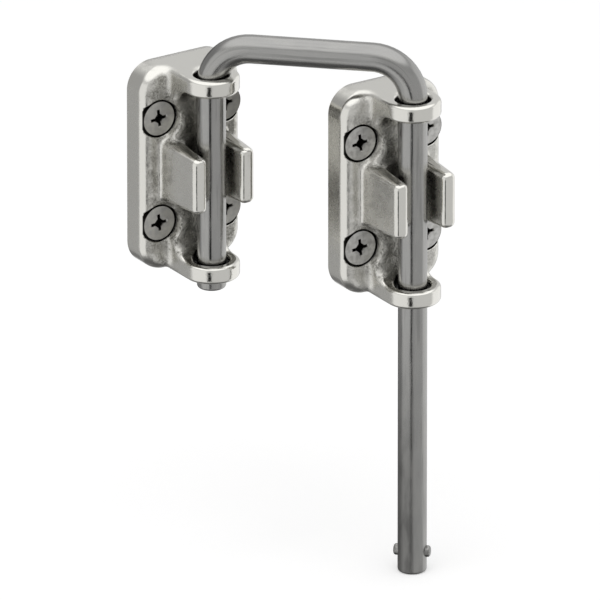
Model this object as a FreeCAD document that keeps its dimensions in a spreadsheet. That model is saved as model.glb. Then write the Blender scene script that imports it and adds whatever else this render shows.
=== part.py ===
import FreeCAD, Part
import math
import os
import Sketcher

# Door loop lock: a bent steel loop that drops through the ring arms of two screwed-on brackets.
# Millimetres. +Z up, the wall behind at +Y, the viewer in front at -Y.
# Origin: middle of the jamb bracket's back face, on the wall plane.

doc = FreeCAD.newDocument("door_loop_lock")
sheet = doc.addObject("Spreadsheet::Sheet", "Sizes")

# Driving dimensions: name, size in millimetres or degrees, what it is
DRIVING = [
    ("plate_width", 31.4, "bracket base, across"),
    ("plate_height", 58.7, "bracket base, up and down"),
    ("plate_depth", 8.4, "bracket base, wall to front face"),
    ("plate_corner", 7.4, "radius of the base's four corners, seen from the front"),
    ("base_round", 3.0, "rounding of the base's front edge"),
    ("spine_rise", 2.8, "how far the raised spine stands above the front face"),
    ("spine_round", 1.05, "rounding of the spine's edges and the arms' inner edges"),
    ("arm_thick", 4.8, "thickness of each ring arm"),
    ("arm_round", 1.2, "rounding of the arms' outer edges"),
    ("arm_root_round", 1.7, "radius where the arms and the spine grow out of the base"),
    ("ring_wall", 2.95, "wall of the rings round the hole that the bar slides in"),
    ("bar_clearance", 0.78, "space between the bar and that hole, all round"),
    ("bore_round", 1.0, "rounding of that hole's rims"),
    ("saddle_round", 6.5, "radius between the spine and each arm, behind the bar"),
    ("bar_space", 2.63, "space between the spine and the bar"),
    ("tab_past_bar", 7.1, "centre line of the bar to the front of the two guard tabs"),
    ("tab_height", 15.8, "height of a tab at its front"),
    ("tab_thick", 4.1, "thickness of a tab at its front"),
    ("tab_gap", 1.5, "space between the bar and a tab at the tab's front"),
    ("tab_draft", 3.0, "angle by which each side of a tab widens towards its root"),
    ("tab_round", 1.7, "rounding of a tab's edges"),
    ("tab_root_round", 1.4, "radius where a tab grows out of the base"),
    ("screw_from_side", 5.15, "side of the base to the middle of the nearest screws"),
    ("screw_from_end", 14.15, "top or bottom of the base to the middle of the nearest screws"),
    ("recess_gap", 0.45, "space round a screw head in its round recess"),
    ("recess_deep", 1.2, "depth of that recess below the front face"),
    ("recess_rim", 0.3, "rounding of that recess's rim"),
    ("neck_clearance", 0.2, "space between a screw's neck and its hole, all round"),
    ("front_wall", 3.4, "wall left in front of the hollow in the bracket's back"),
    ("core_wall", 2.2, "wall left around that hollow"),
    ("core_rib", 2.0, "thickness of the two ribs that cross it"),
    ("boss_wall", 1.6, "wall of the boss around each screw hole"),
    ("head_radius", 4.9, "radius of a screw head"),
    ("head_sunk", 0.3, "front face to the top of a screw head"),
    ("head_land", 0.3, "height of the head's straight edge"),
    ("head_angle", 82.0, "full angle of the head's cone"),
    ("neck_radius", 2.4, "radius of the plain neck, which ends at the bracket's back"),
    ("thread_root", 1.8, "radius of the threaded length at the thread's root"),
    ("screw_long", 12.7, "length of a screw with its head"),
    ("point_long", 3.5, "length of a screw's point"),
    ("cross_span", 5.2, "cross recess, tip to tip at the top"),
    ("cross_slot", 0.9, "width of the cross recess's arms at the top"),
    ("cross_heart", 1.35, "middle of the cross to where its arms leave the wide heart"),
    ("cross_turn", 6.0, "angle that each cross is turned by, against the clock"),
    ("cross_deep", 1.9, "depth of the cross recess"),
    ("cross_taper", 0.45, "share of the cross that is left at its floor"),
    ("bar_radius", 3.97, "radius of the loop's bar"),
    ("bar_bend", 11.0, "radius of the loop's bends, to the bar's centre line"),
    ("bar_end_round", 0.8, "rounding of the bar's two ends"),
    ("leg_spacing", 55.2, "distance between the loop's legs"),
    ("panel_setback", 37.6, "how far the door's mounting face lies behind the jamb's"),
    ("door_rise", 3.2, "how far the door bracket sits above the jamb bracket"),
    ("bend_dip", 3.2, "how far down in the door bracket's upper ring the loop's bend begins"),
    ("long_leg_below", 79.0, "bottom of the jamb bracket to the end of the long leg"),
    ("short_leg_below", 3.3, "bottom of the door bracket to the end of the short leg"),
    ("pin_radius", 1.6, "radius of the retaining pin"),
    ("pin_proud", 1.08, "how far each end of the pin stands out of the bar"),
    ("pin_above_end", 5.8, "end of the long leg to the middle of the pin"),
    ("pin_round", 0.7, "rounding of the pin's ends"),
]
for row, (alias, number, meaning) in enumerate(DRIVING, start=1):
    sheet.set("A%d" % row, alias)
    sheet.set("B%d" % row, str(number))
    sheet.set("C%d" % row, meaning)
    sheet.setAlias("B%d" % row, alias)
doc.recompute()


class Size:
    """A size held twice: as a number, and as the expression over the sheet that it is bound to."""

    def __init__(self, number, text):
        self.number = number
        self.text = text

    @staticmethod
    def of(other):
        return other if isinstance(other, Size) else Size(float(other), repr(float(other)))

    def __add__(self, other):
        other = Size.of(other)
        return Size(self.number + other.number, "(%s + %s)" % (self.text, other.text))

    def __sub__(self, other):
        other = Size.of(other)
        return Size(self.number - other.number, "(%s - %s)" % (self.text, other.text))

    def __mul__(self, other):
        other = Size.of(other)
        return Size(self.number * other.number, "(%s * %s)" % (self.text, other.text))

    def __truediv__(self, other):
        other = Size.of(other)
        return Size(self.number / other.number, "(%s / %s)" % (self.text, other.text))

    def __neg__(self):
        return Size(-self.number, "(-%s)" % self.text)

    def root(self):
        return Size(math.sqrt(self.number), "sqrt(%s)" % self.text)

    def degrees(self):
        """This number as an angle."""
        return Size(self.number, "%s * 1 deg" % self.text)

    def tangent(self):
        """The tangent of this angle in degrees."""
        return Size(math.tan(math.radians(self.number)), "tan(%s * 1 deg)" % self.text)


size = {alias: Size(number, "Sizes." + alias) for alias, number, _ in DRIVING}
ZERO = Size.of(0)
WHOLE = Size.of(1)
TOUCH = 1e-4       # two lengths closer than this are the same place
SHARP_TURN = 0.1   # radians between two faces that meet in a real edge

half_width = size["plate_width"] / 2
half_height = size["plate_height"] / 2
face = size["plate_depth"]
rounding_start = face - size["base_round"]
core_deep = face - size["front_wall"]
spine_front = face + size["spine_rise"]
bar_y = spine_front + size["bar_space"] + size["bar_radius"]
bore = size["bar_radius"] + size["bar_clearance"]
half_arm = bore + size["ring_wall"]
arm_inner = half_height - size["arm_thick"]
tab_front = bar_y + size["tab_past_bar"]
screw_x = half_width - size["screw_from_side"]
screw_z = half_height - size["screw_from_end"]
screw_hole = size["neck_radius"] + size["neck_clearance"]
recess_radius = size["head_radius"] + size["recess_gap"]
recess_floor = face - size["recess_deep"]
across = (size["leg_spacing"] * size["leg_spacing"] - size["panel_setback"] * size["panel_setback"]).root()
bend_level = half_height + size["door_rise"] - size["bend_dip"]
run_level = bend_level + size["bar_bend"]
long_end = -half_height - size["long_leg_below"]
short_end = size["door_rise"] - half_height - size["short_leg_below"]
pin_level = long_end + size["pin_above_end"]
pin_long = (size["bar_radius"] + size["pin_proud"]) * 2
SIDES = (-1, 1)
QUARTER_TURN = 90
HALF_TURN = 180


def bind(thing, path, value):
    thing.setExpression(path, Size.of(value).text)


# Sketches

def plane(body, role):
    return next(item for item in body.Origin.OriginFeatures if item.Role == role)


def new_sketch(body, name, role, offset=None):
    """A sketch on one of the body's own origin planes, moved along that plane's normal."""
    sketch = body.newObject("Sketcher::SketchObject", name)
    sketch.AttachmentSupport = [(plane(body, role), "")]
    sketch.MapMode = "FlatFace"
    if offset is not None:
        bind(sketch, "AttachmentOffset.Base.z", offset)
    return sketch


def bound_constraint(sketch, value, kind, *where):
    index = sketch.addConstraint(Sketcher.Constraint(kind, *where, value.number))
    bind(sketch, "Constraints[%d]" % index, value)


def fix_point(sketch, curve, end, x, y):
    """Ties one point of a sketch to its distances from the sketch's origin."""
    for kind, axis, value in (("DistanceX", -2, x), ("DistanceY", -1, y)):
        if abs(value.number) < TOUCH:
            sketch.addConstraint(Sketcher.Constraint("PointOnObject", curve, end, axis))
        elif value.number > 0:
            bound_constraint(sketch, value, kind, -1, 1, curve, end)
        else:
            bound_constraint(sketch, -value, kind, curve, end, -1, 1)


def draw_circle(sketch, x, y, radius):
    circle = Part.Circle(FreeCAD.Vector(x.number, y.number, 0), FreeCAD.Vector(0, 0, 1), radius.number)
    curve = sketch.addGeometry(circle)
    bound_constraint(sketch, radius, "Radius", curve)
    fix_point(sketch, curve, 3, x, y)


def draw_arc(sketch, start, end, centre, radius):
    """A short arc; returns its number and which of its ends comes first and last."""
    middle = FreeCAD.Vector(centre[0].number, centre[1].number, 0)
    first = FreeCAD.Vector(start[0].number, start[1].number, 0) - middle
    last = FreeCAD.Vector(end[0].number, end[1].number, 0) - middle
    angles = [math.atan2(point.y, point.x) for point in (first, last)]
    forward = (first.x * last.y - first.y * last.x) > 0
    low, high = angles if forward else angles[::-1]
    if high < low:
        high += 2 * math.pi
    circle = Part.Circle(middle, FreeCAD.Vector(0, 0, 1), radius.number)
    curve = sketch.addGeometry(Part.ArcOfCircle(circle, low, high))
    bound_constraint(sketch, radius, "Radius", curve)
    return (curve, 1, 2) if forward else (curve, 2, 1)


def draw_path(sketch, start, steps):
    """Lines and arcs from point to point; an arc's step is its end, its centre and its radius.

    The path closes when its last step ends at the very point that it started from.
    """
    here = start
    before = None
    opening = None
    for step in steps:
        there = step[0]
        if len(step) == 1:
            ends = [FreeCAD.Vector(point[0].number, point[1].number, 0) for point in (here, there)]
            curve, first, last = sketch.addGeometry(Part.LineSegment(*ends)), 1, 2
        else:
            curve, first, last = draw_arc(sketch, here, there, step[1], step[2])
        if before is None:
            opening = (curve, first)
            fix_point(sketch, curve, first, *start)
        else:
            sketch.addConstraint(Sketcher.Constraint("Coincident", *before, curve, first))
        if there is start:
            sketch.addConstraint(Sketcher.Constraint("Coincident", curve, last, *opening))
        else:
            fix_point(sketch, curve, last, *there)
        before = (curve, last)
        here = there


def draw_rectangle(sketch, left, right, low, high):
    start = (left, low)
    draw_path(sketch, start, [((right, low),), ((right, high),), ((left, high),), (start,)])


def draw_rounded_rectangle(sketch, half_x, half_y, radius):
    """A rectangle about the sketch's origin with four round corners."""
    near_x = half_x - radius
    near_y = half_y - radius
    start = (-near_x, -half_y)
    draw_path(sketch, start, [
        ((near_x, -half_y),),
        ((half_x, -near_y), (near_x, -near_y), radius),
        ((half_x, near_y),),
        ((near_x, half_y), (near_x, near_y), radius),
        ((-near_x, half_y),),
        ((-half_x, near_y), (-near_x, near_y), radius),
        ((-half_x, -near_y),),
        (start, (-near_x, -near_y), radius),
    ])


def draw_screw_circles(sketch, radius):
    for side in SIDES:
        for level in SIDES:
            draw_circle(sketch, screw_x * side, screw_z * level, radius)


# Features

def extrude(body, kind, name, sketch, length=None, reverse=False, both_ways=False):
    """A pad or a pocket; with no length it goes through everything."""
    feature = body.newObject("PartDesign::" + kind, name)
    feature.Profile = sketch
    feature.Reversed = reverse
    if both_ways:
        feature.SideType = "Symmetric"
    if length is None:
        feature.Type = "ThroughAll"
    else:
        bind(feature, "Length", length)
    return feature


def is_sharp(shape, edge):
    """True where the edge's two faces meet at an angle."""
    faces = shape.ancestorsOfType(edge, Part.Face)
    if len(faces) != 2:
        return False
    middle = edge.valueAt((edge.FirstParameter + edge.LastParameter) / 2)
    normals = [near.normalAt(*near.Surface.parameter(middle)) for near in faces]
    return SHARP_TURN < normals[0].getAngle(normals[1]) < math.pi - SHARP_TURN


def round_edges(body, name, radius, wanted):
    """Rounds the sharp edges whose middle point and two ends pass the test."""
    doc.recompute()
    base = body.Tip
    edges = []
    for number, edge in enumerate(base.Shape.Edges, start=1):
        middle = edge.valueAt((edge.FirstParameter + edge.LastParameter) / 2)
        ends = [vertex.Point for vertex in edge.Vertexes]
        if wanted(middle, ends) and is_sharp(base.Shape, edge):
            edges.append("Edge%d" % number)
    if not edges:
        raise ValueError("no edge to round for " + name)
    feature = body.newObject("PartDesign::Fillet", name)
    feature.Base = (base, edges)
    bind(feature, "Radius", radius)
    doc.recompute()
    return feature


def same(one, other):
    return abs(one - other) < TOUCH


def new_body(name, x=ZERO, y=ZERO, z=ZERO):
    body = doc.addObject("PartDesign::Body", name)
    body.Label = name
    for axis, value in zip("xyz", (x, y, z)):
        bind(body, "Placement.Base." + axis, value)
    return body


# Bracket: one die casting with a base, a spine, two ring arms and two guard tabs

def add_base(body):
    outline = new_sketch(body, "base_outline", "XZ_Plane")
    draw_rounded_rectangle(outline, half_width, half_height, size["plate_corner"])
    extrude(body, "Pad", "base", outline, face)

    def in_front(middle, ends):
        return same(middle.y, -face.number)

    round_edges(body, "base_rounding", size["base_round"], in_front)


def draw_arm_section(sketch, left, outer, inner):
    """One arm seen from the front, from `left` to its right side, with round outer corners."""
    turn = size["arm_round"]
    if outer.number < inner.number:
        turn = -turn
    high = outer - turn
    near = half_arm - size["arm_round"]
    steps = [
        ((half_arm, inner),),
        ((half_arm, high),),
        ((near, outer), (near, high), size["arm_round"]),
    ]
    if same(left.number, 0):
        steps.append(((left, outer),))
    else:
        steps.append(((-near, outer),))
        steps.append(((-half_arm, high), (-near, high), size["arm_round"]))
    start = (left, inner)
    draw_path(sketch, start, steps + [(start,)])


def add_arms(body):
    """The two arms, each with a half-turned nose round the bar."""
    root = face / 2
    for name, outer, inner in (("upper", half_height, arm_inner), ("lower", -half_height, -arm_inner)):
        section = new_sketch(body, name + "_arm_section", "XZ_Plane", root)
        draw_arm_section(section, -half_arm, outer, inner)
        extrude(body, "Pad", name + "_arm", section, bar_y - root)
        half_section = new_sketch(body, name + "_nose_section", "XZ_Plane", bar_y)
        draw_arm_section(half_section, ZERO, outer, inner)
        nose = body.newObject("PartDesign::Revolution", name + "_nose")
        nose.Profile = half_section
        nose.ReferenceAxis = (half_section, ["V_Axis"])
        nose.Angle = HALF_TURN
        nose.Reversed = True


def add_spine(body):
    """The raised spine between the arms, then its roots, the saddles behind the bar and its edges."""
    plan = new_sketch(body, "spine_plan", "XY_Plane")
    draw_rectangle(plan, -half_arm, half_arm, -spine_front, -face / 2)
    extrude(body, "Pad", "spine", plan, size["plate_height"] - size["arm_thick"], both_ways=True)
    inner = arm_inner.number
    front = spine_front.number

    def at_root(middle, ends):
        on_base = -face.number - TOUCH < middle.y < -rounding_start.number
        return on_base and same(abs(middle.x), half_arm.number)

    def at_saddle(middle, ends):
        return same(middle.x, 0) and same(middle.y, -front) and same(abs(middle.z), inner)

    def on_inside(middle, ends):
        return middle.y < TOUCH - front and abs(middle.z) < inner + TOUCH

    round_edges(body, "arm_roots", size["arm_root_round"], at_root)
    round_edges(body, "saddles", size["saddle_round"], at_saddle)
    round_edges(body, "inner_rounding", size["spine_round"], on_inside)


def add_tabs(body):
    """Two guards beside the bar, each lofted from a larger root to its front."""
    root = size["plate_depth"] / 2
    widening = (tab_front - root) * size["tab_draft"].tangent()
    inner = size["bar_radius"] + size["tab_gap"]
    outer = inner + size["tab_thick"]
    half_tall = size["tab_height"] / 2
    for name, side in (("left", -1), ("right", 1)):
        sections = []
        for place, depth, extra in (("root", root, widening), ("front", tab_front, ZERO)):
            sketch = new_sketch(body, "%s_tab_%s" % (name, place), "XZ_Plane", depth)
            draw_rectangle(sketch, (inner - extra) * side, (outer + extra) * side,
                           -half_tall - extra, half_tall + extra)
            sections.append(sketch)
        tab = body.newObject("PartDesign::AdditiveLoft", name + "_tab")
        tab.Profile = sections[0]
        tab.Sections = [sections[1]]
        tab.Ruled = True

    front = spine_front.number
    middle_height = (half_tall + widening).number

    def on_tab(middle, ends):
        return middle.y < -front - TOUCH and abs(middle.z) < middle_height

    def at_root(middle, ends):
        near_root = middle.y > -front - size["tab_root_round"].number
        return near_root and middle.y < TOUCH - face.number and abs(middle.z) < middle_height

    round_edges(body, "tab_rounding", size["tab_round"], on_tab)
    round_edges(body, "tab_roots", size["tab_root_round"], at_root)


def cut_bores(body):
    circle = new_sketch(body, "bore_circle", "XY_Plane", half_height)
    draw_circle(circle, ZERO, -bar_y, bore)
    extrude(body, "Pocket", "bores", circle)

    def on_rim(middle, ends):
        return same(math.hypot(middle.x, middle.y + bar_y.number), bore.number)

    round_edges(body, "bore_rims", size["bore_round"], on_rim)


def cut_back(body):
    """The hollow in the casting's back, crossed by two ribs, with a boss around each screw."""
    hollow = new_sketch(body, "hollow_outline", "XZ_Plane")
    draw_rounded_rectangle(hollow, half_width - size["core_wall"], half_height - size["core_wall"],
                           size["plate_corner"] - size["core_wall"])
    extrude(body, "Pocket", "hollow", hollow, core_deep, reverse=True)
    half_rib = size["core_rib"] / 2
    into_wall = size["core_wall"] / 2
    upright = new_sketch(body, "upright_rib_outline", "XZ_Plane")
    draw_rectangle(upright, -half_rib, half_rib, into_wall - half_height, half_height - into_wall)
    extrude(body, "Pad", "upright_rib", upright, core_deep)
    level = new_sketch(body, "level_rib_outline", "XZ_Plane")
    draw_rectangle(level, into_wall - half_width, half_width - into_wall, -half_rib, half_rib)
    extrude(body, "Pad", "level_rib", level, core_deep)
    bosses = new_sketch(body, "boss_circles", "XZ_Plane")
    draw_screw_circles(bosses, screw_hole + size["boss_wall"])
    extrude(body, "Pad", "bosses", bosses, core_deep)


def cut_screw_seats(body):
    """A round recess for each head, with a countersunk clearance hole through to the back."""
    recesses = new_sketch(body, "recess_circles", "XZ_Plane", recess_floor)
    draw_screw_circles(recesses, recess_radius)
    extrude(body, "Pocket", "recesses", recesses, reverse=True)

    def on_rim(middle, ends):
        away = math.hypot(abs(middle.x) - screw_x.number, abs(middle.z) - screw_z.number)
        return same(away, recess_radius.number) and middle.y < -recess_floor.number - TOUCH

    round_edges(body, "recess_rims", size["recess_rim"], on_rim)
    holes = new_sketch(body, "hole_circles", "XZ_Plane", recess_floor)
    draw_screw_circles(holes, screw_hole)
    doc.recompute()
    seats = body.newObject("PartDesign::Hole", "screw_holes")
    seats.Profile = holes
    seats.ThreadType = "None"
    seats.DepthType = "ThroughAll"
    seats.HoleCutType = "Countersink"
    seats.HoleCutCustomValues = True
    cone_top = size["recess_deep"] - size["head_sunk"] - size["head_land"]
    seat_radius = size["head_radius"] - cone_top * (size["head_angle"] / 2).tangent()
    bind(seats, "Diameter", screw_hole * 2)
    bind(seats, "HoleCutDiameter", seat_radius * 2)
    bind(seats, "HoleCutCountersinkAngle", size["head_angle"])


def make_bracket(name, x, y, z):
    body = new_body(name, x, y, z)
    add_base(body)
    add_arms(body)
    add_spine(body)
    add_tabs(body)
    cut_bores(body)
    cut_back(body)
    cut_screw_seats(body)
    return body


# Flat-head screws

def draw_cross(body, name, depth, share):
    """A turned plus sign with a wide heart, drawn at a share of its size at the head's top."""
    sketch = new_sketch(body, name, "XY_Plane", -depth)
    bind(sketch, "AttachmentOffset.Rotation.Angle", size["cross_turn"].degrees())
    tip = size["cross_span"] * share / 2
    side = size["cross_slot"] * share / 2
    heart = size["cross_heart"] * share
    start = (tip, side)
    draw_path(sketch, start, [
        ((heart, side),), ((side, heart),), ((side, tip),), ((-side, tip),),
        ((-side, heart),), ((-heart, side),), ((-tip, side),), ((-tip, -side),),
        ((-heart, -side),), ((-side, -heart),), ((-side, -tip),), ((side, -tip),),
        ((side, -heart),), ((heart, -side),), ((tip, -side),), (start,),
    ])
    return sketch


def make_screw(name, x, y, z):
    """A screw along the wall's normal; its own +Z comes out of the wall, with the head's top at 0."""
    body = new_body(name, x, y, z)
    body.Placement.Rotation = FreeCAD.Rotation(FreeCAD.Vector(1, 0, 0), QUARTER_TURN)
    cone = (size["head_radius"] - size["neck_radius"]) / (size["head_angle"] / 2).tangent()
    neck_top = size["head_land"] + cone
    thread_top = face - size["head_sunk"]
    neck_end = thread_top - (size["neck_radius"] - size["thread_root"])
    profile = new_sketch(body, name + "_profile", "XZ_Plane")
    start = (ZERO, ZERO)
    draw_path(profile, start, [
        ((size["head_radius"], ZERO),),
        ((size["head_radius"], -size["head_land"]),),
        ((size["neck_radius"], -neck_top),),
        ((size["neck_radius"], -neck_end),),
        ((size["thread_root"], -thread_top),),
        ((size["thread_root"], size["point_long"] - size["screw_long"]),),
        ((ZERO, -size["screw_long"]),),
        (start,),
    ])
    turned = body.newObject("PartDesign::Revolution", name + "_turned")
    turned.Profile = profile
    turned.ReferenceAxis = (plane(body, "Z_Axis"), [""])
    top = draw_cross(body, name + "_cross_top", ZERO, WHOLE)
    floor = draw_cross(body, name + "_cross_floor", size["cross_deep"], size["cross_taper"])
    cross = body.newObject("PartDesign::SubtractiveLoft", name + "_cross")
    cross.Profile = top
    cross.Sections = [floor]
    cross.Ruled = True
    return body


# Loop and its pin, both drawn in the loop's own plane and turned about the long leg

def turn_to_loop(body):
    bind(body, "Placement.Base.y", -bar_y)
    body.Placement.Rotation = FreeCAD.Rotation(FreeCAD.Vector(0, 0, 1), HALF_TURN)
    body.setExpression("Placement.Rotation.Angle",
                       "%d deg - asin(Sizes.panel_setback / Sizes.leg_spacing)" % HALF_TURN)


def make_loop():
    body = new_body("loop_bar")
    turn_to_loop(body)
    route = new_sketch(body, "loop_route", "XZ_Plane")
    draw_path(route, (ZERO, long_end), [
        ((ZERO, bend_level),),
        ((size["bar_bend"], run_level), (size["bar_bend"], bend_level), size["bar_bend"]),
        ((size["leg_spacing"] - size["bar_bend"], run_level),),
        ((size["leg_spacing"], bend_level), (size["leg_spacing"] - size["bar_bend"], bend_level),
         size["bar_bend"]),
        ((size["leg_spacing"], short_end),),
    ])
    section = new_sketch(body, "bar_section", "XY_Plane", long_end)
    draw_circle(section, ZERO, ZERO, size["bar_radius"])
    doc.recompute()
    bar = body.newObject("PartDesign::AdditivePipe", "bent_bar")
    bar.Profile = section
    bar.Spine = (route, ["Edge%d" % number for number in range(1, len(route.Shape.Edges) + 1)])
    bar.Mode = "Standard"

    def at_end(middle, ends):
        return same(middle.z, long_end.number) or same(middle.z, short_end.number)

    round_edges(body, "bar_ends", size["bar_end_round"], at_end)
    hole = new_sketch(body, "pin_hole_circle", "YZ_Plane")
    draw_circle(hole, ZERO, pin_level, size["pin_radius"])
    extrude(body, "Pocket", "pin_hole", hole, pin_long, both_ways=True)
    return body


def make_pin():
    body = new_body("retaining_pin")
    turn_to_loop(body)
    section = new_sketch(body, "pin_section", "YZ_Plane")
    draw_circle(section, ZERO, pin_level, size["pin_radius"])
    extrude(body, "Pad", "pin", section, pin_long, both_ways=True)

    def at_end(middle, ends):
        return same(abs(middle.x), pin_long.number / 2)

    round_edges(body, "pin_ends", size["pin_round"], at_end)
    return body


bracket_places = {
    "jamb": (ZERO, ZERO, ZERO),
    "door": (-across, size["panel_setback"], size["door_rise"]),
}
bodies = []
for owner, (x, y, z) in bracket_places.items():
    bodies.append(make_bracket(owner + "_bracket", x, y, z))
    for level_name, level in (("upper", 1), ("lower", -1)):
        for side_name, side in (("left", -1), ("right", 1)):
            name = "%s_screw_%s_%s" % (owner, level_name, side_name)
            bodies.append(make_screw(name, x + screw_x * side, y - (face - size["head_sunk"]),
                                     z + screw_z * level))
bodies.append(make_loop())
bodies.append(make_pin())
doc.recompute()

# Every object is checked before anything is written

for thing in doc.Objects:
    if "Invalid" in thing.State or "Error" in thing.State:
        raise RuntimeError("%s failed: %s" % (thing.Label, thing.State))
for body in bodies:
    shape = body.Shape
    if shape.isNull() or not shape.isValid() or len(shape.Solids) != 1:
        raise RuntimeError("%s has no single valid solid" % body.Label)

os.makedirs("parts", exist_ok=True)
for body in bodies:
    body.Shape.exportStep("parts/%s.step" % body.Label)
    print("%-26s %9.1f mm3" % (body.Label, body.Shape.Volume))
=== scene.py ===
"""Looks, studio and camera of the door loop lock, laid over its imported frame.

Metres, in the frame of the CAD model: +Z up, the wall behind at +Y, the viewer in front at -Y.
"""

import logging
import math
from dataclasses import dataclass, replace
from enum import Enum

import bpy
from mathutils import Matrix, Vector


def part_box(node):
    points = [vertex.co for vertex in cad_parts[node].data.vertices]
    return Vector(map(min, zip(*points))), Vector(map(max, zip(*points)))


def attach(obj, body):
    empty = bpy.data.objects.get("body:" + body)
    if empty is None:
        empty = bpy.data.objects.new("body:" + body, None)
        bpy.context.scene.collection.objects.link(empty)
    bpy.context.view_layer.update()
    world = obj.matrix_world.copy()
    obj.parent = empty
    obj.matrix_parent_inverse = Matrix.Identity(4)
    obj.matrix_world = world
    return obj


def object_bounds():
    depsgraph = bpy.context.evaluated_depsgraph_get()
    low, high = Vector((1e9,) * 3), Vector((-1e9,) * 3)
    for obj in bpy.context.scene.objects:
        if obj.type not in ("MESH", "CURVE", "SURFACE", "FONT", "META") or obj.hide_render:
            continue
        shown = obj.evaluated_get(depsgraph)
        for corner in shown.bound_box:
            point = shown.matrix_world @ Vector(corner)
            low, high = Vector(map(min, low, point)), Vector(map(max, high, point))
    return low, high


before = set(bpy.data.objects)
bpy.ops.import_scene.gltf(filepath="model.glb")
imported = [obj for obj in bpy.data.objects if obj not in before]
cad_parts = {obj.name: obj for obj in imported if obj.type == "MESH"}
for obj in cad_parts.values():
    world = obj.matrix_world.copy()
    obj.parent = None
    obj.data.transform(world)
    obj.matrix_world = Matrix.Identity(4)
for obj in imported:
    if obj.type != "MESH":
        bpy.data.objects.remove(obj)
cad_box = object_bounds()
log = logging.getLogger("loop_lock")

MM = 0.001
FIXED_BODY = "brackets"
INWARD = Vector((0, 1, 0))
BLUE_TO_GREEN = 5

Colour = tuple[float, float, float, float]
Socket = bpy.types.NodeSocket
Number = float | Socket
Paint = Colour | Socket


class Sum(Enum):
    """The sums that a node graph needs."""

    ADD = "ADD"
    LESS = "SUBTRACT"
    TIMES = "MULTIPLY"
    LOWEST = "MINIMUM"
    HIGHEST = "MAXIMUM"
    SIZE = "ABSOLUTE"
    ROOT = "SQRT"
    TURN = "ARCTAN2"
    RISE = "ARCSINE"
    WRAP = "WRAP"


class Mixture(Enum):
    """What a mix node mixes: its data type, then the numbers of its two inputs and its output."""

    NUMBER = ("FLOAT", 2, 3, 0)
    VECTOR = ("VECTOR", 4, 5, 1)
    COLOUR = ("RGBA", 6, 7, 2)


class Reading(Enum):
    """What a graph reads: the place and the normal in the piece's frame, or a way into the world."""

    PLACE = "Object"
    NORMAL = "Normal"
    WAY = "Generated"


class Ray(Enum):
    """The rays that the studio tells apart."""

    CAMERA = "Is Camera Ray"
    GLOSSY = "Is Glossy Ray"


class Ending(Enum):
    """The last node of a graph."""

    MATERIAL = "ShaderNodeOutputMaterial"
    WORLD = "ShaderNodeOutputWorld"


class Owner(Enum):
    """What a bracket is screwed to."""

    JAMB = "jamb"
    DOOR = "door"


class Corner(Enum):
    """Where a screw sits in its bracket."""

    UPPER_LEFT = "upper_left"
    UPPER_RIGHT = "upper_right"
    LOWER_LEFT = "lower_left"
    LOWER_RIGHT = "lower_right"


@dataclass(frozen=True)
class Ramp:
    """A smooth step from `low` to `high`, as what is read goes from `start` to `end`.

    The end may lie below the start.
    """

    start: float
    end: float
    low: float = 0.0
    high: float = 1.0

    def moved(self, way: float) -> "Ramp":
        """The same step, begun and ended further on."""
        return replace(self, start=self.start + way, end=self.end + way)


@dataclass(frozen=True)
class Cloud:
    """Cloudy noise from 0 to 1: the clouds' size, and the number and strength of finer layers."""

    size: float
    detail: float = 2.0
    rough: float = 0.5


@dataclass(frozen=True)
class Streak(Cloud):
    """Cloudy noise drawn out along the bar, whose length counts only by the share `along`."""

    along: float = 1.0


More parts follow.
